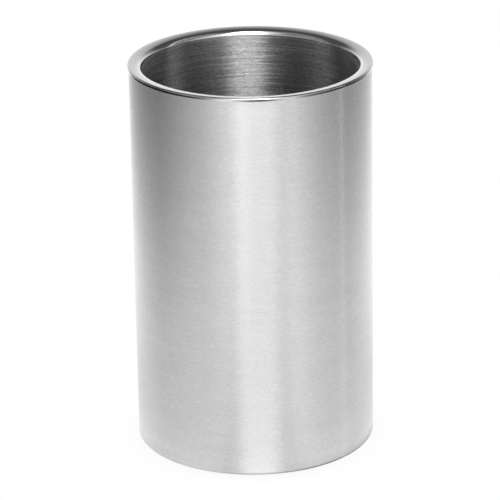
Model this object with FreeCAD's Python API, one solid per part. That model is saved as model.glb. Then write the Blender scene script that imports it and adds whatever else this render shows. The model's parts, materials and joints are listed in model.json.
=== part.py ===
import FreeCAD, Part
import math
import os

# Double-walled steel champagne bottle cooler, in millimetres, +Z up.
# The origin is the middle of the footprint, on the table.
#
# A deep-drawn liner hangs inside a rolled sleeve. The liner's upper end is rolled out into the
# rim and folded down over the sleeve. A pressed pan, resting on the sleeve's turned-in hem,
# closes the bottom, and the air between the two walls insulates the bottle.
#
# Every piece is round, so each is drawn as a half section in the (radius, height) plane and
# turned once round the Z axis.

# Driving dimensions of the whole cooler
BODY_RADIUS = 60.0  # outside of the sleeve
TOTAL_HEIGHT = 197.6  # table to the top of the rim
OPENING_RADIUS = 53.5  # inside of the liner's straight wall, where the bottle stands
FLOOR_HEIGHT = 13.0  # table to the top of the liner's floor
FOOT_DROP = 1.0  # how far the foot ring stands below the sleeve's hem
SHEET = 0.5  # thickness of every steel sheet

# Rim, formed from the liner's upper end: a tight roll out of the bore, a gently domed land that
# runs up to a narrow crown, and a lip folded down over the sleeve
ROLL_RADIUS = 2.9  # polished roll between the bore and the land
LAND_RADIUS = 15.8  # arc of the land's dome
LAND_SLOPE = math.radians(14)  # of the land where it meets the roll
CROWN_WIDTH = 0.1  # flat top, between the land and the lip's rounding
LIP_OVERHANG = 0.55  # how far the lip stands out beyond the sleeve
LIP_EDGE_RADIUS = 0.85  # rounding between the crown and the lip
LIP_HEIGHT = 1.6  # top of the rim to the lip's lower edge

# Liner's floor: a raised panel inside a shallow gutter, then a large corner
FLOOR_CORNER_RADIUS = 8.0
FLOOR_PANEL_RADIUS = 37.0  # middle of the step between panel and gutter
GUTTER_DEPTH = 1.0

# Sleeve's lower end
HEM_BEND_RADIUS = 1.4
HEM_INNER_RADIUS = 54.5

# Base pan: a flat band on the hem, a step up to the middle, and a skirt inside the sleeve
PAN_CLEARANCE = 0.05  # skirt to sleeve
PAN_BEND_RADIUS = 1.5
PAN_SKIRT_HEIGHT = 10.0  # above the table
PAN_BAND_RADIUS = 45.0  # inner edge of the band that rests on the hem
PAN_RISE = 3.5  # from the band up to the ledge under the support ring
PAN_CENTRE_RADIUS = 21.0
PAN_CENTRE_DROP = 1.0  # from the ledge down to the middle

# Pressed steps, in the floor and in the pan
STEP_RUN = 2.0  # how far a step runs inwards
STEP_BEND_RADIUS = 1.5

# Foot ring, with shallow grip grooves in its underside
FOOT_INNER_RADIUS = 46.5
FOOT_OUTER_RADIUS = 53.5
FOOT_EDGE_RADIUS = 0.5
GRIP_GROOVE_RADII = (48.7, 51.3)
GRIP_GROOVE_WIDTH = 0.8
GRIP_GROOVE_DEPTH = 0.4

# Support ring, between the pan's ledge and the liner's floor
SUPPORT_INNER_RADIUS = 24.0
SUPPORT_OUTER_RADIUS = 34.0
SUPPORT_EDGE_RADIUS = 0.8

# Vent plug, pushed up through the middle of the pan
VENT_HOLE_RADIUS = 3.0
PLUG_CLEARANCE = 0.05
PLUG_HEAD_RADIUS = 5.0
PLUG_HEAD_THICKNESS = 1.2
PLUG_BARB_RADIUS = 3.6
PLUG_TIP_RADIUS = 2.2
PLUG_LENGTH = 3.5  # from the pan's upper face to the tip
PLUG_EDGE_RADIUS = 0.4

# Sealing beads, each with a hollow free face
SEAL_FILM = 0.25  # adhesive between the sleeve's top edge and the rim
SEAL_FILM_REACH = 0.2  # how far the film runs out over the sleeve's edge
RIM_BEAD_WIDTH = 2.3
RIM_BEAD_DEPTH = 2.1
BASE_BEAD_DEPTH = 1.6
BEAD_HOLLOW = 0.65  # share of the way from the free ends to the corner
BEAD_HOLLOW_RADIUS = 0.4

ORIGIN = FreeCAD.Vector(0, 0, 0)
UP = FreeCAD.Vector(0, 0, 1)

# Worked out from the driving dimensions
LIP_RADIUS = BODY_RADIUS + LIP_OVERHANG
CROWN_RADIUS = LIP_RADIUS - LIP_EDGE_RADIUS - CROWN_WIDTH
LAND_CORNER_RADIUS = CROWN_RADIUS - LAND_RADIUS * math.tan(LAND_SLOPE / 2)
LAND_CORNER_DROP = (LAND_CORNER_RADIUS - OPENING_RADIUS) * math.tan(LAND_SLOPE)
SLEEVE_INSIDE = BODY_RADIUS - SHEET
CROWN_UNDERSIDE = TOTAL_HEIGHT - SHEET
SLEEVE_TOP = CROWN_UNDERSIDE - SEAL_FILM
HEM_TOP = FOOT_DROP + SHEET
PAN_LEDGE = HEM_TOP + PAN_RISE
PAN_CENTRE = PAN_LEDGE - PAN_CENTRE_DROP


def at(radius, height):
    """A point of the half section."""
    return FreeCAD.Vector(radius, 0, height)


def left_of(direction):
    """The direction a quarter turn anticlockwise in the (radius, height) plane."""
    return FreeCAD.Vector(-direction.z, 0, direction.x)


def bends(corners):
    """For each inner corner of a path: the corner, its two directions, half its turn, its radius."""
    points = [at(radius, height) for radius, height, bend in corners]
    for index in range(1, len(points) - 1):
        arrive = (points[index] - points[index - 1]).normalize()
        leave = (points[index + 1] - points[index]).normalize()
        yield points[index], arrive, leave, arrive.getAngle(leave) / 2, corners[index][2]


def path_edges(corners):
    """Lines through (radius, height, bend radius) corners, with an arc at each bend."""
    edges = []
    reached = at(*corners[0][:2])
    for corner, arrive, leave, half_turn, bend in bends(corners):
        setback = bend * math.tan(half_turn)
        arc_start = corner - arrive * setback
        edges.append(Part.LineSegment(reached, arc_start).toShape())
        reached = corner + leave * setback
        if bend > 0:
            inwards = (leave - arrive).normalize()
            arc_middle = corner + inwards * (bend / math.cos(half_turn) - bend)
            edges.append(Part.Arc(arc_start, arc_middle, reached).toShape())
    edges.append(Part.LineSegment(reached, at(*corners[-1][:2])).toShape())
    return edges


def other_face(corners, thickness):
    """The path of a sheet's right-hand face, when corners give its left-hand face."""
    first, second = at(*corners[0][:2]), at(*corners[1][:2])
    before_last, last = at(*corners[-2][:2]), at(*corners[-1][:2])
    start = first - left_of((second - first).normalize()) * thickness
    moved = [(start.x, start.z, 0)]
    for corner, arrive, leave, half_turn, bend in bends(corners):
        across = (left_of(arrive) + left_of(leave)).normalize()
        point = corner - across * (thickness / math.cos(half_turn))
        turns_left = left_of(arrive).dot(leave) > 0
        moved.append((point.x, point.z, bend + thickness if turns_left else bend - thickness))
    end = last - left_of((last - before_last).normalize()) * thickness
    moved.append((end.x, end.z, 0))
    return moved


def turned(edges):
    """The solid that a closed half section makes, turned once round the axis."""
    section = Part.Face(Part.Wire(edges))
    return section.revolve(ORIGIN, UP, 360)


def sheet_metal(corners):
    """A turned sheet. Its seen face is on the left of the path through the corners."""
    back = other_face(corners, SHEET)
    seen_edges = path_edges(corners)
    back_edges = path_edges(back)
    start_edge = Part.LineSegment(at(*back[0][:2]), at(*corners[0][:2])).toShape()
    end_edge = Part.LineSegment(at(*corners[-1][:2]), at(*back[-1][:2])).toShape()
    return turned([start_edge] + seen_edges + [end_edge] + back_edges[::-1])


def solid_ring(corners):
    """A turned solid whose section is the closed outline through the corners."""
    first, last = corners[0], corners[-1]
    seam = ((first[0] + last[0]) / 2, (first[1] + last[1]) / 2, 0)
    return turned(path_edges([seam] + corners + [seam]))


def make_inner_liner():
    """Drawn cup, from the middle of its floor, up the bore, over the rim and down the lip."""
    gutter_height = FLOOR_HEIGHT - GUTTER_DEPTH
    return sheet_metal([
        (0, FLOOR_HEIGHT, 0),
        (FLOOR_PANEL_RADIUS - STEP_RUN / 2, FLOOR_HEIGHT, STEP_BEND_RADIUS),
        (FLOOR_PANEL_RADIUS + STEP_RUN / 2, gutter_height, STEP_BEND_RADIUS),
        (OPENING_RADIUS, gutter_height, FLOOR_CORNER_RADIUS),
        (OPENING_RADIUS, TOTAL_HEIGHT - LAND_CORNER_DROP, ROLL_RADIUS),
        (LAND_CORNER_RADIUS, TOTAL_HEIGHT, LAND_RADIUS),
        (LIP_RADIUS, TOTAL_HEIGHT, LIP_EDGE_RADIUS),
        (LIP_RADIUS, TOTAL_HEIGHT - LIP_HEIGHT, 0),
    ])


def make_outer_sleeve():
    """Rolled tube, from its top edge inside the lip down to the hem turned in underneath."""
    return sheet_metal([
        (BODY_RADIUS, SLEEVE_TOP, 0),
        (BODY_RADIUS, FOOT_DROP, HEM_BEND_RADIUS),
        (HEM_INNER_RADIUS, FOOT_DROP, 0),
    ])


def make_base_pan():
    """Pressed dish, from its skirt's edge, across the hem and up to the vented middle."""
    skirt_radius = SLEEVE_INSIDE - PAN_CLEARANCE
    dish = sheet_metal([
        (skirt_radius, PAN_SKIRT_HEIGHT, 0),
        (skirt_radius, HEM_TOP, PAN_BEND_RADIUS),
        (PAN_BAND_RADIUS, HEM_TOP, PAN_BEND_RADIUS),
        (PAN_BAND_RADIUS - STEP_RUN, PAN_LEDGE, PAN_BEND_RADIUS),
        (PAN_CENTRE_RADIUS + STEP_RUN / 2, PAN_LEDGE, STEP_BEND_RADIUS),
        (PAN_CENTRE_RADIUS - STEP_RUN / 2, PAN_CENTRE, STEP_BEND_RADIUS),
        (0, PAN_CENTRE, 0),
    ])
    vent_hole = Part.makeCylinder(VENT_HOLE_RADIUS, TOTAL_HEIGHT)
    return dish.cut(vent_hole)


def make_foot_ring():
    """Flat non-slip ring bonded under the pan, with grip grooves round its underside."""
    ring = solid_ring([
        (FOOT_INNER_RADIUS, HEM_TOP, 0),
        (FOOT_INNER_RADIUS, 0, FOOT_EDGE_RADIUS),
        (FOOT_OUTER_RADIUS, 0, FOOT_EDGE_RADIUS),
        (FOOT_OUTER_RADIUS, HEM_TOP, 0),
    ])
    for middle in GRIP_GROOVE_RADII:
        low = middle - GRIP_GROOVE_WIDTH / 2
        high = middle + GRIP_GROOVE_WIDTH / 2
        groove = solid_ring([
            (low, GRIP_GROOVE_DEPTH, 0),
            (low, -GRIP_GROOVE_DEPTH, 0),
            (high, -GRIP_GROOVE_DEPTH, 0),
            (high, GRIP_GROOVE_DEPTH, 0),
        ])
        ring = ring.cut(groove)
    return ring


def make_support_ring():
    """Rubber ring that carries the liner's floor, and so the bottle, on the pan."""
    bottom = PAN_LEDGE + SHEET
    top = FLOOR_HEIGHT - SHEET
    return solid_ring([
        (SUPPORT_INNER_RADIUS, bottom, SUPPORT_EDGE_RADIUS),
        (SUPPORT_OUTER_RADIUS, bottom, SUPPORT_EDGE_RADIUS),
        (SUPPORT_OUTER_RADIUS, top, SUPPORT_EDGE_RADIUS),
        (SUPPORT_INNER_RADIUS, top, SUPPORT_EDGE_RADIUS),
    ])


def make_vent_plug():
    """Push-in plug: a flat head under the pan, a waist in the hole and a tapered barb above."""
    waist = VENT_HOLE_RADIUS - PLUG_CLEARANCE
    pan_top = PAN_CENTRE + SHEET
    tip = pan_top + PLUG_LENGTH
    head_bottom = PAN_CENTRE - PLUG_HEAD_THICKNESS
    return turned(path_edges([
        (0, tip, 0),
        (0, head_bottom, 0),
        (PLUG_HEAD_RADIUS, head_bottom, PLUG_EDGE_RADIUS),
        (PLUG_HEAD_RADIUS, PAN_CENTRE, 0),
        (waist, PAN_CENTRE, 0),
        (waist, pan_top, 0),
        (PLUG_BARB_RADIUS, pan_top, 0),
        (PLUG_TIP_RADIUS, tip, PLUG_EDGE_RADIUS),
        (0, tip, 0),
    ]))


def make_rim_seal():
    """Adhesive in the corner under the rim, running out over the sleeve's top edge.

    It fills right up to the underside of the land, so the liner's own shape is cut out of it.
    """
    inner = SLEEVE_INSIDE - RIM_BEAD_WIDTH
    lower = CROWN_UNDERSIDE - RIM_BEAD_DEPTH
    hollow = (
        inner + RIM_BEAD_WIDTH * BEAD_HOLLOW,
        lower + RIM_BEAD_DEPTH * BEAD_HOLLOW,
        BEAD_HOLLOW_RADIUS,
    )
    bead = solid_ring([
        (inner, CROWN_UNDERSIDE, 0),
        hollow,
        (SLEEVE_INSIDE, lower, 0),
        (SLEEVE_INSIDE, SLEEVE_TOP, 0),
        (SLEEVE_INSIDE + SEAL_FILM_REACH, SLEEVE_TOP, 0),
        (SLEEVE_INSIDE + SEAL_FILM_REACH, CROWN_UNDERSIDE, 0),
    ])
    return bead.cut(make_inner_liner())


def make_base_seal():
    """Sealant on the edge of the pan's skirt, up against the sleeve."""
    inner = SLEEVE_INSIDE - PAN_CLEARANCE - SHEET
    upper = PAN_SKIRT_HEIGHT + BASE_BEAD_DEPTH
    hollow = (
        inner + (SLEEVE_INSIDE - inner) * BEAD_HOLLOW,
        upper - BASE_BEAD_DEPTH * BEAD_HOLLOW,
        BEAD_HOLLOW_RADIUS,
    )
    return solid_ring([
        (inner, PAN_SKIRT_HEIGHT, 0),
        (SLEEVE_INSIDE, PAN_SKIRT_HEIGHT, 0),
        (SLEEVE_INSIDE, upper, 0),
        hollow,
    ])


PIECES = {
    "outer_sleeve": make_outer_sleeve,
    "inner_liner": make_inner_liner,
    "base_pan": make_base_pan,
    "foot_ring": make_foot_ring,
    "support_ring": make_support_ring,
    "vent_plug": make_vent_plug,
    "rim_seal": make_rim_seal,
    "base_seal": make_base_seal,
}

os.makedirs("parts", exist_ok=True)
for name, make in PIECES.items():
    make().exportStep("parts/" + name + ".step")
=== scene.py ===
"""Looks of the double-walled champagne bottle cooler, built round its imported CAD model.

Every length is in metres, in the CAD model's own frame: +Z up, origin on the table under the
middle of the cooler. Each steel sheet is turned again as a fine mesh with a procedural finish.
"""

import json
import math

import bmesh
import bpy
from mathutils import Matrix, Vector


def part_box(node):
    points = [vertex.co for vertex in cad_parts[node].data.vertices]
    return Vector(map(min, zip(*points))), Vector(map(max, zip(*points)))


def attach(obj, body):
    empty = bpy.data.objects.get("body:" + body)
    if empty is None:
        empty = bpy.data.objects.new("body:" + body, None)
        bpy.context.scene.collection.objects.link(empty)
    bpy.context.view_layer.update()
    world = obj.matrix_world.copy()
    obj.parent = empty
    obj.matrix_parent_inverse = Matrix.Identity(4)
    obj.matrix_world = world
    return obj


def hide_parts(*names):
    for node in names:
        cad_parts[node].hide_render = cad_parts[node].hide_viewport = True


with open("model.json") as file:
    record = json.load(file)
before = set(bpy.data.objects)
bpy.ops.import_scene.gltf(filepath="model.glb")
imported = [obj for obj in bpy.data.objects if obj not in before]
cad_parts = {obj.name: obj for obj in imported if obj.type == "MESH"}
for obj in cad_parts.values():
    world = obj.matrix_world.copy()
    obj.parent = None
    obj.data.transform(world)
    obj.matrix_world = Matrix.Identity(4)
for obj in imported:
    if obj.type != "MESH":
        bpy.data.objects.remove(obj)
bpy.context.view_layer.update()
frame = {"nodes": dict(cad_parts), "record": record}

MM = 0.001
SHEET = 0.5 * MM  # thickness of each steel sheet
MOUNTS = {mount["name"]: mount for mount in frame["record"]["mounts"]}

# Sizes read from the CAD model
LINER_LOW, LINER_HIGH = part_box("inner_liner")
SLEEVE_LOW, SLEEVE_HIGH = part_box("outer_sleeve")
PAN_LOW, PAN_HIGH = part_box("base_pan")
FOOT_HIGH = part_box("foot_ring")[1]
PLUG_LOW, PLUG_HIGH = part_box("vent_plug")
RIM_TOP = LINER_HIGH.z
LIP_RADIUS = LINER_HIGH.x
OPENING_RADIUS = MOUNTS["bottle_bay"]["dims"]["r_mm"] * MM
GUTTER_TOP = LINER_LOW.z + SHEET
BODY_RADIUS = SLEEVE_HIGH.x
SLEEVE_TOP = SLEEVE_HIGH.z
HEM_BOTTOM = SLEEVE_LOW.z
PAN_RADIUS = PAN_HIGH.x
PAN_TOP = PAN_HIGH.z
PAN_UNDERSIDE = PAN_LOW.z
FOOT_OUTER_RADIUS = FOOT_HIGH.x
FOOT_TOP = FOOT_HIGH.z
PLUG_HEAD_RADIUS = PLUG_HIGH.x

# Shapes of the pressed sheets and the small parts, as the CAD model has them
ROLL_RADIUS = 2.9 * MM
LAND_RADIUS = 15.8 * MM  # of the crown that the satin ring is pressed to
LAND_SLOPE = math.radians(14)  # of its inner edge, down towards the roll
CROWN_WIDTH = 0.1 * MM  # level strip between the crown and the lip's bend
LIP_EDGE_RADIUS = 0.85 * MM
LIP_HEIGHT = 1.6 * MM
FLOOR_CORNER_RADIUS = 8 * MM
FLOOR_PANEL_RADIUS = 37 * MM
GUTTER_DEPTH = 1 * MM  # of the ring round the floor's raised panel
STEP_RUN = 2 * MM  # how far a pressed step runs sideways
STEP_BEND_RADIUS = 1.5 * MM
HEM_BEND_RADIUS = 1.4 * MM
HEM_INNER_RADIUS = 54.5 * MM
PAN_BAND_RADIUS = 45 * MM  # inner edge of the band that rests on the hem
PAN_RISE = 3.5 * MM  # from the band up to the ledge under the support ring
PAN_CENTRE_RADIUS = 21 * MM
PAN_CENTRE_DROP = 1 * MM  # from the ledge down to the middle
VENT_HOLE_RADIUS = 3 * MM
FOOT_INNER_RADIUS = 46.5 * MM
FOOT_EDGE_RADIUS = 0.5 * MM
GRIP_GROOVE_RADII = (48.7 * MM, 51.3 * MM)  # to the middle of each groove
GRIP_GROOVE_WIDTH = 0.8 * MM
GRIP_GROOVE_DEPTH = 0.4 * MM
PLUG_WAIST_RADIUS = 2.95 * MM
PLUG_BARB_RADIUS = 3.6 * MM
PLUG_TIP_RADIUS = 2.2 * MM
PLUG_EDGE_RADIUS = 0.4 * MM

PAN_LEDGE = PAN_UNDERSIDE + PAN_RISE
PAN_CENTRE = PAN_LEDGE - PAN_CENTRE_DROP
FLOOR_TOP = GUTTER_TOP + GUTTER_DEPTH
CROWN_RADIUS = LIP_RADIUS - LIP_EDGE_RADIUS - CROWN_WIDTH
LAND_CORNER_RADIUS = CROWN_RADIUS - LAND_RADIUS * math.tan(LAND_SLOPE / 2)
LAND_CORNER_DROP = (LAND_CORNER_RADIUS - OPENING_RADIUS) * math.tan(LAND_SLOPE)
ROLL_START = RIM_TOP - LAND_CORNER_DROP - ROLL_RADIUS * math.tan((math.pi / 2 - LAND_SLOPE) / 2)

# Finishes. A grey of 1 would be a perfect white or a perfect mirror
SHELL_GREY = 0.745
SHELL_ROUGHNESS = 0.32
LINER_GREY = 0.72
BORE_GREY = 0.46
BORE_ROUGHNESS = 0.37
DEEP_BORE_PAINTED_SHADE = 0.55  # painted shade: the share of that grey kept deep down in the bore, for the light that reaches less far in
DEEP_BORE_TOP = 158 * MM
DEEP_BORE_BLEND = 20 * MM
ROLL_BLEND = 1 * MM  # how softly the spun bore turns into the polished roll
LAND_BLEND = 0.9 * MM
LIP_BLEND = 0.35 * MM
ROLL_ROUGHNESS = 0.13
LAND_ROUGHNESS = 0.22
LIP_ROUGHNESS = 0.15
BRUSHED = 1.0  # reflections spread along one direction only
POLISHED = 0.0
QUARTER_TURN = 0.25  # of the brushing direction
MILL_GREY = 0.6
MILL_ROUGHNESS = (0.26, 0.44)

# Rubbers and sealant: grey, roughness, size of the grain and depth of the grain
FOOT_RUBBER = (0.03, 0.7, 0.8 * MM, 0.03 * MM)
SUPPORT_RUBBER = (0.22, 0.75, 0.8 * MM, 0.03 * MM)
SEALANT = (0.5, 0.5, 2.5 * MM, 0.06 * MM)
COMPOUND_PATCH = 12 * MM
COMPOUND_PATCH_SHADES = (0.8, 1.2)
COMPOUND_GRAIN_SHADES = (0.92, 1.08)
COMPOUND_GRAIN_DETAIL = 4.0
COMPOUND_SHEEN = 0.08  # how much the roughness varies, up and down

# Textures: a streak's length round the cooler, its width, and how much it changes what it acts on
SHELL_GRAIN = (2 * MM, 0.9 * MM, 0.12)
SHELL_STROKES = (22 * MM, 0.8 * MM, 0.03)
SHELL_CLOUDS = (35 * MM, 14 * MM, 0.03)
SHELL_SHEEN = (30 * MM, 3 * MM, 0.08)
SHELL_SWAY = (25 * MM, 1.5 * MM, 0.02)
BORE_GRAIN = (1.5 * MM, 0.4 * MM, 0.62)
BORE_LINES = (30 * MM, 0.4 * MM, 0.65)
BORE_SHEEN = (30 * MM, 0.45 * MM, 0.3)
BORE_SWAY = (25 * MM, 0.35 * MM, 0.12)
RIM_CLOUDS = (30 * MM, 10 * MM, 0.05)
RIM_SHEEN = (12 * MM, 1.2 * MM, 0.12)
BRUSHED_RELIEF = 0.0008 * MM
POLISHED_RELIEF = 0.0003 * MM
MILL_RELIEF = 0.002 * MM
ROLLING_LENGTH = 40 * MM  # of the straight rolling lines
ROLLING_WIDTH = 0.6 * MM
ROLLING_SHADES = (0.93, 1.07)
MILL_PATCH = 9 * MM
MILL_PATCH_SHADES = (0.9, 1.1)
FINE_DETAIL = 3.0  # of the noise in the rolled sheet

# Studio. A turn is in degrees round the cooler, from the camera's side to the right. A rise is in
# degrees above the table. A level of 1 is pure white.
WHITE = (1, 1, 1, 1)
RIGHT_SIDE_LEVEL = 0.05  # of the room at the right. The left side is black
LEFT_TO_RIGHT = (-0.5, 0.5)  # sines of the turns between which the left side becomes the right side
FRONT_NARROWING = 1.0  # how fast the room dims from the front towards the sides
BACK_NARROWING = 1.4
BACK_TO_FRONT = (-0.1, 0.1)  # cosines of the turns where one narrowing gives way to the other
SWEEP_BACK_LEVEL = 1.12  # of the low white wall behind the cooler
SWEEP_FRONT_LEVEL = 0.8  # of the same wall where it runs on, round the sides and the front
SWEEP_SIDE_RISE = 1.0  # of the wall's top at the sides
SWEEP_EXTRA_RISE = 46  # how much higher its top is straight behind and straight in front
WALL_TO_SIDE = (-0.25, 0.0)  # cosines of the turns where the wall behind ends
SOFTBOX_LEVEL = 3.8  # of the tall bright lamp in front
SOFTBOX_TURN = 4
SOFTBOX_HALF_WIDTH = 19.5
SOFTBOX_EDGE = 16.5
SOFTBOX_LOW = 14
SOFTBOX_HIGH = 70
SOFTBOX_END = 8  # half the height of its soft lower and upper ends
PANEL_LEVEL = 0.95  # of the wide, tilted diffuser round the softbox
PANEL_TURN = 4
PANEL_HALF_WIDTH = 43
PANEL_EDGE = 46
PANEL_RISE = 42
PANEL_HALF_HEIGHT = 24
PANEL_END = 16
PANEL_TILT = 0.34  # degrees that it drops per degree to the right
SIDE_PANEL_LEVEL = 0.19  # of the two dim panels, one at each side
SIDE_PANEL_TURN = 72
SIDE_PANEL_HALF_WIDTH = 18
SIDE_PANEL_EDGE = 16
SIDE_PANEL_RISE = 38
SIDE_PANEL_HALF_HEIGHT = 32
ROOM_FILL = 0.08  # light that comes from everywhere
STRIP_TURN = 92  # of a thin bright gap at the right
STRIP_HALF_WIDTH = 0.8
STRIP_RISE = 25
STRIP_HALF_HEIGHT = 30
STRIP_LEVEL = 2.5
TABLE_RADIUS = 3000 * MM
TABLE_STEPS = 96
TABLE_NEAR_LEVEL = 0.93
TABLE_FAR_LEVEL = 1.27  # in front and at the sides
TABLE_BACK_LEVEL = 1.35  # far behind the cooler
TABLE_NEAR = 100 * MM  # from the cooler's axis. Up to here the near level holds
TABLE_FAR = 320 * MM  # from here on a far level holds
TABLE_HALF_WIDTH = 420 * MM  # of its lit part
TABLE_EDGE = 250 * MM
TABLE_SHIFT = 30 * MM  # of the lit part's middle, to the right
FRONT_NEAR_SHADE = 0.52  # what the camera's shadow takes off the table's level, near and far
FRONT_FAR_SHADE = 1.15
FRONT_NEAR = 50 * MM  # the distances from the axis that count as near and far
FRONT_FAR = 450 * MM
FRONT_NEAR_TURN = 3  # of the shadow's middle, which leans right further out
FRONT_FAR_TURN = 7
FRONT_HALF_WIDTH = 18
FRONT_EDGE = 31
BASE_GLOW_LEVEL = 0.2  # extra, on the table right round the cooler
BASE_GLOW_NEAR = 65 * MM  # full up to here, and gone from the next on
BASE_GLOW_FAR = 110 * MM
HEM_SHADOW_NEAR = BODY_RADIUS + 0.5 * MM  # the hem's shadow on the table, as the hem reflects it
HEM_SHADOW_FAR = BODY_RADIUS + 3.5 * MM
HEM_SHADOW_TURN = (0.1, 0.5)  # sines of the turns between which it deepens, from left to right
HEM_SHADOW_LEVELS = (0.7, 0.0)  # the share of the light that is left in it, left and right
CONTACT_SHADE = 0.06  # how much darker the table is where the cooler nearly touches it
CONTACT_REACH = 12 * MM
CONTACT_SAMPLES = 8
GLOSSY_BOUNCES = 14  # enough for the light that goes round inside the bore

# Camera
VIEW_ELEVATION = math.radians(20.61)
VIEW_DISTANCE = 1553.9 * MM
VIEW_TARGET = Vector((0, 0, 101 * MM))
VIEW_ROLL = math.radians(0.922)
LENS = 222.42  # mm, on a 36 mm wide sensor
SENSOR = 36
SHIFT_RIGHT = -0.0064  # of the picture, as shares of its width
SHIFT_UP = -0.0111

VECTOR_A, VECTOR_B, VECTOR_RESULT = 4, 5, 1  # sockets of a Mix node for vectors
TURN_STEPS = 384  # facets round each turned piece
ON_AXIS = 0.0001 * MM  # a point nearer than this is on the axis
BIG_FACES_FIRST = 100  # the strongest setting: flat faces stay flat where they meet a bend
BEND_STEP = math.radians(4.5)  # turn of the profile between two points of a bend
SHARP_ANGLE = math.radians(35)


# ---------------------------------------------------------------- turned sheets

def bends(corners):
    """For each inner corner of a path: the corner, its two directions, its turn and its radius."""
    points = [Vector(corner[:2]) for corner in corners]
    for index in range(1, len(points) - 1):
        arrive = (points[index] - points[index - 1]).normalized()
        leave = (points[index + 1] - points[index]).normalized()
        turn = math.atan2(arrive.x * leave.y - arrive.y * leave.x, arrive.dot(leave))
        yield points[index], arrive, leave, turn, corners[index][2]


def left_of(direction):
    """The direction a quarter turn anticlockwise."""
    return Vector((-direction.y, direction.x))


def path_points(corners):
    """Points along a path through (radius, height, bend radius) corners, each bend as an arc."""
    points = [Vector(corners[0][:2])]
    for corner, arrive, leave, turn, bend in bends(corners):
        side = 1 if turn > 0 else -1
        start = corner - arrive * bend * math.tan(abs(turn) / 2)
        centre = start + left_of(arrive) * bend * side
        steps = max(2, math.ceil(abs(turn) / BEND_STEP))
        for step in range(steps + 1):
            swing = Matrix.Rotation(turn * step / steps, 2)
            points.append(centre + swing @ (start - centre))
    points.append(Vector(corners[-1][:2]))
    return points


def other_face(corners, thickness):
    """The path of a sheet's right-hand face, when corners give its left-hand face."""
    first, second = Vector(corners[0][:2]), Vector(corners[1][:2])
    before_last, last = Vector(corners[-2][:2]), Vector(corners[-1][:2])
    moved = [(*(first - left_of((second - first).normalized()) * thickness), 0)]
    for corner, arrive, leave, turn, bend in bends(corners):
        across = (left_of(arrive) + left_of(leave)).normalized()
        point = corner - across * thickness / math.cos(turn / 2)
        moved.append((*point, bend + thickness if turn > 0 else bend - thickness))
    moved.append((*(last - left_of((last - before_last).normalized()) * thickness), 0))
    return moved


def ring_of_points(shape, radius, height, steps):
    """A level ring of new vertices round the Z axis, or a single vertex on the axis itself."""
    if radius < ON_AXIS:
        return [shape.verts.new((0, 0, height))]
    ring = []
    for step in range(steps):
        angle = 2 * math.pi * step / steps
        ring.append(shape.verts.new((radius * math.cos(angle), radius * math.sin(angle), height)))
    return ring


def bridge(shape, this, following):
    """Faces all the way round between two rings, either of which may be a single point."""
    for step in range(TURN_STEPS):
        after = (step + 1) % TURN_STEPS
        if len(this) > 1 and len(following) > 1:
            shape.faces.new((this[step], this[after], following[after], following[step]))
        elif len(following) > 1:
            shape.faces.new((this[0], following[after], following[step]))
        elif len(this) > 1:
            shape.faces.new((this[step], this[after], following[0]))


def new_object(name, shape):
    """A new object in the scene, with the filled bmesh as its mesh."""
    mesh = bpy.data.meshes.new(name)
    shape.to_mesh(mesh)
    shape.free()
    made = bpy.data.objects.new(name, mesh)
    bpy.context.scene.collection.objects.link(made)
    return made


def turned_mesh(name, outline):
    """A closed mesh: the closed outline of (radius, height) points turned round the Z axis."""
    shape = bmesh.new()
    rings = [ring_of_points(shape, radius, height, TURN_STEPS) for radius, height in outline]
    for this, following in zip(rings, rings[1:] + rings[:1]):
        bridge(shape, this, following)
    bmesh.ops.recalc_face_normals(shape, faces=shape.faces)
    piece = new_object(name, shape)
    piece.data.polygons.foreach_set("use_smooth", [True] * len(piece.data.polygons))
    piece.data.set_sharp_from_angle(angle=SHARP_ANGLE)
    weighted = piece.modifiers.new("even_normals", "WEIGHTED_NORMAL")
    weighted.weight = BIG_FACES_FIRST
    weighted.keep_sharp = True
    return piece


def stand_for(node, piece, material):
    """Show the piece in place of a CAD node, with its finish in one named slot."""
    piece.data.materials.append(material)
    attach(piece, "root")
    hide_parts(node)


def sheet_metal(name, corners):
    """A turned sheet. Its seen face is on the left of the path through the corners."""
    seen = path_points(corners)
    back = path_points(other_face(corners, SHEET))
    return turned_mesh(name, seen + back[::-1])


# ---------------------------------------------------------------- node graphs

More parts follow.
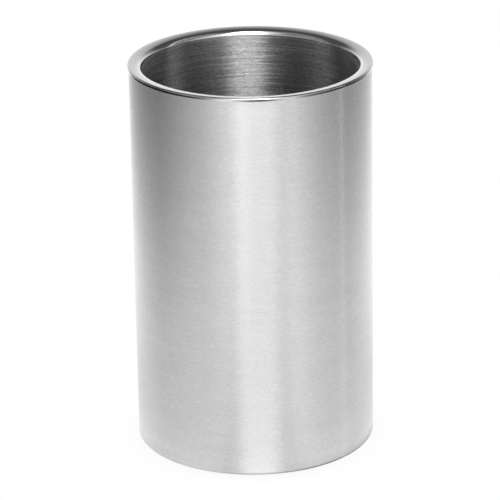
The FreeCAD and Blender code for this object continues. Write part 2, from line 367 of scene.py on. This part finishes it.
class Graph:
    """A node tree being filled. Each method returns the socket that carries its result."""

    def __init__(self, owner):
        owner.use_nodes = True
        self.tree = owner.node_tree
        self.tree.nodes.clear()

    def node(self, kind, inputs, **settings):
        """A new node of this kind, its inputs linked to sockets or set to values."""
        made = self.tree.nodes.new("ShaderNode" + kind)
        for key, value in settings.items():
            setattr(made, key, value)
        for key, value in inputs.items():
            if isinstance(value, bpy.types.NodeSocket):
                self.tree.links.new(value, made.inputs[key])
            else:
                made.inputs[key].default_value = value
        return made

    def math(self, operation, *values):
        return self.node("Math", dict(enumerate(values)), operation=operation).outputs[0]

    def add(self, *values):
        total = values[0]
        for value in values[1:]:
            total = self.math("ADD", total, value)
        return total

    def times(self, *values):
        product = values[0]
        for value in values[1:]:
            product = self.math("MULTIPLY", product, value)
        return product

    def smooth(self, value, start, end, low=0.0, high=1.0):
        """low up to start, then a smooth change to high, reached at end."""
        inputs = {"Value": value, "From Min": start, "From Max": end, "To Min": low, "To Max": high}
        return self.node("MapRange", inputs, interpolation_type="SMOOTHSTEP").outputs["Result"]

    def window(self, value, middle, half_width, edge):
        """1 within half_width of the middle and 0 outside it, with a soft edge this wide."""
        away = self.math("ABSOLUTE", self.math("SUBTRACT", value, middle))
        return self.smooth(away, half_width - edge / 2, half_width + edge / 2, 1.0, 0.0)

    def blend(self, share, low, high):
        """low where share is 0, high where it is 1."""
        inputs = {"Value": share, "To Min": low, "To Max": high}
        return self.node("MapRange", inputs).outputs["Result"]

    def combine(self, x, y, z):
        return self.node("CombineXYZ", {"X": x, "Y": y, "Z": z}).outputs[0]

    def split(self, vector):
        return self.node("SeparateXYZ", {"Vector": vector}).outputs[:3]

    def noise(self, vector, scale=1.0, detail=1.0):
        inputs = {"Vector": vector, "Scale": scale, "Detail": detail}
        return self.node("TexNoise", inputs).outputs["Fac"]

    def polar(self, x, y):
        """Distance from the axis, and the sine and cosine of the turn from the camera's side."""
        across = self.math("MULTIPLY", x, x)
        distance = self.math("SQRT", self.math("MULTIPLY_ADD", y, y, across))
        sine = self.math("DIVIDE", x, distance)
        cosine = self.math("DIVIDE", self.math("MULTIPLY", y, -1.0), distance)
        return distance, sine, cosine

    def degrees_round(self, sine, cosine):
        """The turn, in degrees, that has this sine and cosine."""
        return self.math("DEGREES", self.math("ARCTAN2", sine, cosine))

    def camera_ray(self):
        """1 for what the camera sees directly, 0 for what it sees in a reflection."""
        return self.node("LightPath", {}).outputs["Is Camera Ray"]

    def tint(self, color, *shades):
        """The grey color, made lighter and darker by the shades."""
        grey = self.times(color, *shades)
        return self.combine(grey, grey, grey)


class Place:
    """Where a point of a turned piece is: its coordinates, its radius and its way along the profile.

    The way along is radius plus height, which changes steadily over a wall, a floor or a rim.
    """

    def __init__(self, graph):
        self.graph = graph
        self.vector = graph.node("TexCoord", {}).outputs["Object"]
        self.x, self.y, self.z = graph.split(self.vector)
        self.radius, self.sine, self.cosine = graph.polar(self.x, self.y)
        self.along = graph.math("ADD", self.radius, self.z)

    def streaks(self, length, width):
        """Noise drawn out round the axis: streaks about length long and width wide."""
        vector = self.graph.combine(
            self.graph.math("DIVIDE", self.x, length),
            self.graph.math("DIVIDE", self.y, length),
            self.graph.math("DIVIDE", self.along, width),
        )
        return self.graph.noise(vector)

    def shade(self, length, width, amount):
        """About 1, varying by up to this amount from streak to streak."""
        return self.graph.blend(self.streaks(length, width), 1 - amount, 1 + amount)

    def swayed(self, normal, length, width, amount):
        """The normal, leaning a little to one side or the other round the axis."""
        lean = self.graph.blend(self.streaks(length, width), -amount, amount)
        sideways = self.graph.combine(self.cosine, self.sine, 0.0)
        push = self.graph.node("VectorMath", {0: sideways, "Scale": lean}, operation="SCALE").outputs[0]
        pushed = self.graph.node("VectorMath", {0: normal, 1: push}, operation="ADD").outputs[0]
        return self.graph.node("VectorMath", {0: pushed}, operation="NORMALIZE").outputs[0]


def new_material(name):
    """A new material, and its empty graph."""
    material = bpy.data.materials.new(name)
    return material, Graph(material)


def finish_surface(graph, **inputs):
    """The surface shader, with the inputs named after its sockets, spaces as underscores."""
    named = {key.replace("_", " "): value for key, value in inputs.items()}
    surface = graph.node("BsdfPrincipled", named)
    graph.node("OutputMaterial", {"Surface": surface.outputs[0]})


def brushed_round(graph, color, roughness, anisotropy, normal):
    """Steel brushed round the axis, which spreads each reflection up and down the piece."""
    tangent = graph.node("Tangent", {}, direction_type="RADIAL", axis="Z").outputs[0]
    finish_surface(
        graph,
        Base_Color=color,
        Metallic=1.0,
        Roughness=roughness,
        Anisotropic=anisotropy,
        Anisotropic_Rotation=QUARTER_TURN,
        Tangent=tangent,
        Normal=normal,
    )


def relief(graph, height, depth):
    """The shading normal of a fine relief."""
    return graph.node("Bump", {"Height": height, "Distance": depth}).outputs[0]


# ---------------------------------------------------------------- finishes

def shell_steel():
    """Brushed shell: fine grain, longer brush strokes and a faint cloudiness."""
    material, graph = new_material("brushed_shell")
    place = Place(graph)
    color = graph.tint(
        SHELL_GREY,
        place.shade(*SHELL_GRAIN),
        place.shade(*SHELL_STROKES),
        place.shade(*SHELL_CLOUDS),
    )
    roughness = graph.times(SHELL_ROUGHNESS, place.shade(*SHELL_SHEEN))
    grain = relief(graph, place.streaks(*SHELL_GRAIN[:2]), BRUSHED_RELIEF)
    brushed_round(graph, color, roughness, BRUSHED, place.swayed(grain, *SHELL_SWAY))
    return material


def liner_steel():
    """Spun bore, polished roll, satin land and polished lip, told apart by where they are."""
    material, graph = new_material("satin_liner")
    place = Place(graph)
    land_start = OPENING_RADIUS + ROLL_RADIUS
    lip_start = LIP_RADIUS - LIP_EDGE_RADIUS
    roll = graph.smooth(place.z, ROLL_START, ROLL_START + ROLL_BLEND)
    land = graph.smooth(place.radius, land_start - LAND_BLEND, land_start)
    lip = graph.smooth(place.radius, lip_start, lip_start + LIP_BLEND)
    spun = graph.times(place.shade(*BORE_GRAIN), place.shade(*BORE_LINES))
    # Painted shade: the bore's grey darkens deep down, for the light that reaches less far into it
    painted_deep_shade = graph.smooth(place.z, DEEP_BORE_TOP - DEEP_BORE_BLEND, DEEP_BORE_TOP, DEEP_BORE_PAINTED_SHADE, 1.0)
    bore_color = graph.times(BORE_GREY, painted_deep_shade, spun)
    color = graph.tint(graph.blend(roll, bore_color, LINER_GREY), place.shade(*RIM_CLOUDS))
    bore_roughness = graph.times(BORE_ROUGHNESS, place.shade(*BORE_SHEEN))
    roughness = graph.blend(roll, bore_roughness, ROLL_ROUGHNESS)
    roughness = graph.blend(land, roughness, LAND_ROUGHNESS)
    roughness = graph.blend(lip, roughness, LIP_ROUGHNESS)
    roughness = graph.times(roughness, place.shade(*RIM_SHEEN))
    grain = place.streaks(*BORE_GRAIN[:2])
    normal = place.swayed(relief(graph, grain, BRUSHED_RELIEF), *BORE_SWAY)
    polished = relief(graph, grain, POLISHED_RELIEF)
    normals = {0: roll, VECTOR_A: normal, VECTOR_B: polished}
    normal = graph.node("Mix", normals, data_type="VECTOR").outputs[VECTOR_RESULT]
    brushed_round(graph, color, roughness, graph.blend(roll, BRUSHED, POLISHED), normal)
    return material


def mill_steel():
    """Plain rolled sheet, with faint straight rolling lines and a mottled sheen."""
    material, graph = new_material("mill_finish_pan")
    place = Place(graph)
    rolled = graph.combine(
        graph.math("DIVIDE", place.x, ROLLING_LENGTH),
        graph.math("DIVIDE", place.y, ROLLING_WIDTH),
        graph.math("DIVIDE", place.z, ROLLING_LENGTH),
    )
    lines = graph.noise(rolled, detail=FINE_DETAIL)
    patches = graph.noise(place.vector, 1 / MILL_PATCH, FINE_DETAIL)
    line_shade = graph.blend(lines, *ROLLING_SHADES)
    patch_shade = graph.blend(patches, *MILL_PATCH_SHADES)
    finish_surface(
        graph,
        Base_Color=graph.tint(MILL_GREY, line_shade, patch_shade),
        Metallic=1.0,
        Roughness=graph.blend(patches, *MILL_ROUGHNESS),
        Normal=relief(graph, lines, MILL_RELIEF),
    )
    return material


def soft_compound(name, grey, roughness, grain_size, depth):
    """Moulded rubber or cured sealant: uneven grey, a dull sheen and a fine orange-peel grain."""
    material, graph = new_material(name)
    place = Place(graph)
    grain = graph.noise(place.vector, 1 / grain_size, COMPOUND_GRAIN_DETAIL)
    patches = graph.noise(place.vector, 1 / COMPOUND_PATCH)
    patch_shade = graph.blend(patches, *COMPOUND_PATCH_SHADES)
    grain_shade = graph.blend(grain, *COMPOUND_GRAIN_SHADES)
    finish_surface(
        graph,
        Base_Color=graph.tint(grey, patch_shade, grain_shade),
        Roughness=graph.blend(grain, roughness - COMPOUND_SHEEN, roughness + COMPOUND_SHEEN),
        Normal=relief(graph, grain, depth),
    )
    return material


# ---------------------------------------------------------------- studio

def side_dimming(graph, sine, cosine):
    """Brightness of the room near the table's level: full in front and behind, dark at each side."""
    side = graph.smooth(sine, *LEFT_TO_RIGHT, 0.0, RIGHT_SIDE_LEVEL)
    narrowing = graph.smooth(cosine, *BACK_TO_FRONT, BACK_NARROWING, FRONT_NARROWING)
    facing = graph.math("POWER", graph.math("ABSOLUTE", cosine), narrowing)
    return graph.blend(facing, side, 1.0)


def studio_room():
    """Everything above the table. The camera sees plain white, and the steel reflects a photo studio.

    The studio has a low white wall all round, a tall softbox inside a wide tilted panel in front, a
    dim panel at each side and a thin bright gap at the right.
    """
    world = bpy.data.worlds.new("studio")
    graph = Graph(world)
    x, y, z = graph.split(graph.node("TexCoord", {}).outputs["Generated"])
    sine, cosine = graph.polar(x, y)[1:]
    turn = graph.degrees_round(sine, cosine)
    rise = graph.math("DEGREES", graph.math("ARCSINE", z))
    behind = graph.smooth(cosine, *WALL_TO_SIDE, SWEEP_BACK_LEVEL, SWEEP_FRONT_LEVEL)
    facing = graph.math("ABSOLUTE", cosine)
    top_rise = graph.math("MULTIPLY_ADD", facing, SWEEP_EXTRA_RISE, SWEEP_SIDE_RISE)
    low = graph.smooth(rise, 0.0, top_rise, 1.0, 0.0)
    sweep = graph.times(side_dimming(graph, sine, cosine), behind, low)
    softbox = graph.times(
        SOFTBOX_LEVEL,
        graph.window(turn, SOFTBOX_TURN, SOFTBOX_HALF_WIDTH, SOFTBOX_EDGE),
        graph.smooth(rise, SOFTBOX_LOW - SOFTBOX_END, SOFTBOX_LOW + SOFTBOX_END),
        graph.smooth(rise, SOFTBOX_HIGH - SOFTBOX_END, SOFTBOX_HIGH + SOFTBOX_END, 1.0, 0.0),
    )
    tilted_rise = graph.math("MULTIPLY_ADD", turn, PANEL_TILT, rise)
    panel = graph.times(
        PANEL_LEVEL,
        graph.window(turn, PANEL_TURN, PANEL_HALF_WIDTH, PANEL_EDGE),
        graph.window(tilted_rise, PANEL_RISE, PANEL_HALF_HEIGHT, PANEL_END),
    )
    either_turn = graph.math("ABSOLUTE", turn)
    side_panels = graph.times(
        SIDE_PANEL_LEVEL,
        graph.window(either_turn, SIDE_PANEL_TURN, SIDE_PANEL_HALF_WIDTH, SIDE_PANEL_EDGE),
        graph.window(rise, SIDE_PANEL_RISE, SIDE_PANEL_HALF_HEIGHT, SIDE_PANEL_EDGE),
    )
    strip = graph.times(
        STRIP_LEVEL,
        graph.window(turn, STRIP_TURN, STRIP_HALF_WIDTH, STRIP_HALF_WIDTH),
        graph.window(rise, STRIP_RISE, STRIP_HALF_HEIGHT, STRIP_HALF_HEIGHT / 2),
    )
    light = graph.add(sweep, softbox, panel, side_panels, strip, ROOM_FILL)
    strength = graph.blend(graph.camera_ray(), light, 1.0)
    shade = graph.node("Background", {"Color": WHITE, "Strength": strength})
    graph.node("OutputWorld", {"Surface": shade.outputs[0]})
    return world


def table_surface():
    """The table. The camera sees it white, a little darker where the cooler nearly touches it.

    In the steel it is lit in the middle and dim at each side, with the camera's shadow in front.
    """
    material, graph = new_material("studio_table")
    x, y = graph.split(graph.node("NewGeometry", {}).outputs["Position"])[:2]
    distance, sine, cosine = graph.polar(x, y)
    far_level = graph.smooth(cosine, *WALL_TO_SIDE, TABLE_BACK_LEVEL, TABLE_FAR_LEVEL)
    top = graph.blend(graph.smooth(distance, TABLE_NEAR, TABLE_FAR), TABLE_NEAR_LEVEL, far_level)
    within = graph.window(x, TABLE_SHIFT, TABLE_HALF_WIDTH, TABLE_EDGE)
    beyond = graph.smooth(sine, *LEFT_TO_RIGHT, 0.0, RIGHT_SIDE_LEVEL)
    turn = graph.degrees_round(sine, cosine)
    middle = graph.smooth(distance, FRONT_NEAR, FRONT_FAR, FRONT_NEAR_TURN, FRONT_FAR_TURN)
    front = graph.window(graph.math("SUBTRACT", turn, middle), 0, FRONT_HALF_WIDTH, FRONT_EDGE)
    shade = graph.smooth(distance, FRONT_NEAR, FRONT_FAR, FRONT_NEAR_SHADE, FRONT_FAR_SHADE)
    top = graph.math("SUBTRACT", top, graph.times(front, shade))
    base_glow = graph.smooth(distance, BASE_GLOW_NEAR, BASE_GLOW_FAR, BASE_GLOW_LEVEL, 0.0)
    hem_shadow = graph.smooth(sine, *HEM_SHADOW_TURN, *HEM_SHADOW_LEVELS)
    shadowed = graph.smooth(distance, HEM_SHADOW_NEAR, HEM_SHADOW_FAR, hem_shadow, 1.0)
    lit = graph.times(shadowed, graph.add(graph.blend(within, beyond, top), base_glow))
    nearby = graph.node("AmbientOcclusion", {"Distance": CONTACT_REACH}, samples=CONTACT_SAMPLES)
    contact = graph.blend(nearby.outputs["AO"], 1 - CONTACT_SHADE, 1.0)
    glow = graph.node("Emission", {"Strength": graph.blend(graph.camera_ray(), lit, contact)})
    graph.node("OutputMaterial", {"Surface": glow.outputs[0]})
    return material


def table_top():
    """A round table top, out to where the room takes over."""
    shape = bmesh.new()
    shape.faces.new(ring_of_points(shape, TABLE_RADIUS, 0, TABLE_STEPS))
    top = new_object("table_top", shape)
    top.data.materials.append(table_surface())


def place_camera():
    """The camera, a little above the cooler, looking down at it, turned slightly about its aim."""
    data = bpy.data.cameras.new("camera")
    data.lens = LENS
    data.sensor_width = SENSOR
    data.shift_x = SHIFT_RIGHT
    data.shift_y = SHIFT_UP
    camera = bpy.data.objects.new("camera", data)
    bpy.context.scene.collection.objects.link(camera)
    towards = Vector((0, -math.cos(VIEW_ELEVATION), math.sin(VIEW_ELEVATION)))
    camera.location = VIEW_TARGET + towards * VIEW_DISTANCE
    level = (-towards).to_track_quat("-Z", "Y").to_matrix().to_4x4()
    camera.rotation_mode = "QUATERNION"
    camera.rotation_quaternion = (level @ Matrix.Rotation(-VIEW_ROLL, 4, "Z")).to_quaternion()
    bpy.context.scene.camera = camera


# ---------------------------------------------------------------- the cooler

liner = sheet_metal("liner", [
    (0, FLOOR_TOP, 0),
    (FLOOR_PANEL_RADIUS - STEP_RUN / 2, FLOOR_TOP, STEP_BEND_RADIUS),
    (FLOOR_PANEL_RADIUS + STEP_RUN / 2, GUTTER_TOP, STEP_BEND_RADIUS),
    (OPENING_RADIUS, GUTTER_TOP, FLOOR_CORNER_RADIUS),
    (OPENING_RADIUS, RIM_TOP - LAND_CORNER_DROP, ROLL_RADIUS),
    (LAND_CORNER_RADIUS, RIM_TOP, LAND_RADIUS),
    (LIP_RADIUS, RIM_TOP, LIP_EDGE_RADIUS),
    (LIP_RADIUS, RIM_TOP - LIP_HEIGHT, 0),
])
stand_for("inner_liner", liner, liner_steel())

sleeve = sheet_metal("sleeve", [
    (BODY_RADIUS, SLEEVE_TOP, 0),
    (BODY_RADIUS, HEM_BOTTOM, HEM_BEND_RADIUS),
    (HEM_INNER_RADIUS, HEM_BOTTOM, 0),
])
stand_for("outer_sleeve", sleeve, shell_steel())

pan = sheet_metal("pan", [
    (PAN_RADIUS, PAN_TOP, 0),
    (PAN_RADIUS, PAN_UNDERSIDE, STEP_BEND_RADIUS),
    (PAN_BAND_RADIUS, PAN_UNDERSIDE, STEP_BEND_RADIUS),
    (PAN_BAND_RADIUS - STEP_RUN, PAN_LEDGE, STEP_BEND_RADIUS),
    (PAN_CENTRE_RADIUS + STEP_RUN / 2, PAN_LEDGE, STEP_BEND_RADIUS),
    (PAN_CENTRE_RADIUS - STEP_RUN / 2, PAN_CENTRE, STEP_BEND_RADIUS),
    (VENT_HOLE_RADIUS, PAN_CENTRE, 0),
])
stand_for("base_pan", pan, mill_steel())

underside = [(FOOT_INNER_RADIUS, FOOT_TOP, 0), (FOOT_INNER_RADIUS, 0, FOOT_EDGE_RADIUS)]
for groove_radius in GRIP_GROOVE_RADII:
    inner = groove_radius - GRIP_GROOVE_WIDTH / 2
    outer = groove_radius + GRIP_GROOVE_WIDTH / 2
    underside += [(inner, 0, 0), (inner, GRIP_GROOVE_DEPTH, 0)]
    underside += [(outer, GRIP_GROOVE_DEPTH, 0), (outer, 0, 0)]
underside += [(FOOT_OUTER_RADIUS, 0, FOOT_EDGE_RADIUS), (FOOT_OUTER_RADIUS, FOOT_TOP, 0)]
foot = turned_mesh("foot", path_points(underside))
foot_rubber = soft_compound("black_foot_rubber", *FOOT_RUBBER)
stand_for("foot_ring", foot, foot_rubber)

plug = turned_mesh("plug", path_points([
    (0, PLUG_LOW.z, 0),
    (PLUG_HEAD_RADIUS, PLUG_LOW.z, PLUG_EDGE_RADIUS),
    (PLUG_HEAD_RADIUS, PAN_CENTRE, 0),
    (PLUG_WAIST_RADIUS, PAN_CENTRE, 0),
    (PLUG_WAIST_RADIUS, PAN_CENTRE + SHEET, 0),
    (PLUG_BARB_RADIUS, PAN_CENTRE + SHEET, 0),
    (PLUG_TIP_RADIUS, PLUG_HIGH.z, PLUG_EDGE_RADIUS),
    (0, PLUG_HIGH.z, 0),
]))
stand_for("vent_plug", plug, foot_rubber)

support_rubber = soft_compound("grey_support_rubber", *SUPPORT_RUBBER)
sealant = soft_compound("grey_sealant", *SEALANT)
for node, material in (("support_ring", support_rubber), ("rim_seal", sealant), ("base_seal", sealant)):
    frame["nodes"][node].material_slots[0].material = material

table_top()
place_camera()
bpy.context.scene.world = studio_room()
bpy.context.scene.view_settings.view_transform = "Standard"
bpy.context.scene.cycles.max_bounces = GLOSSY_BOUNCES
bpy.context.scene.cycles.glossy_bounces = GLOSSY_BOUNCES
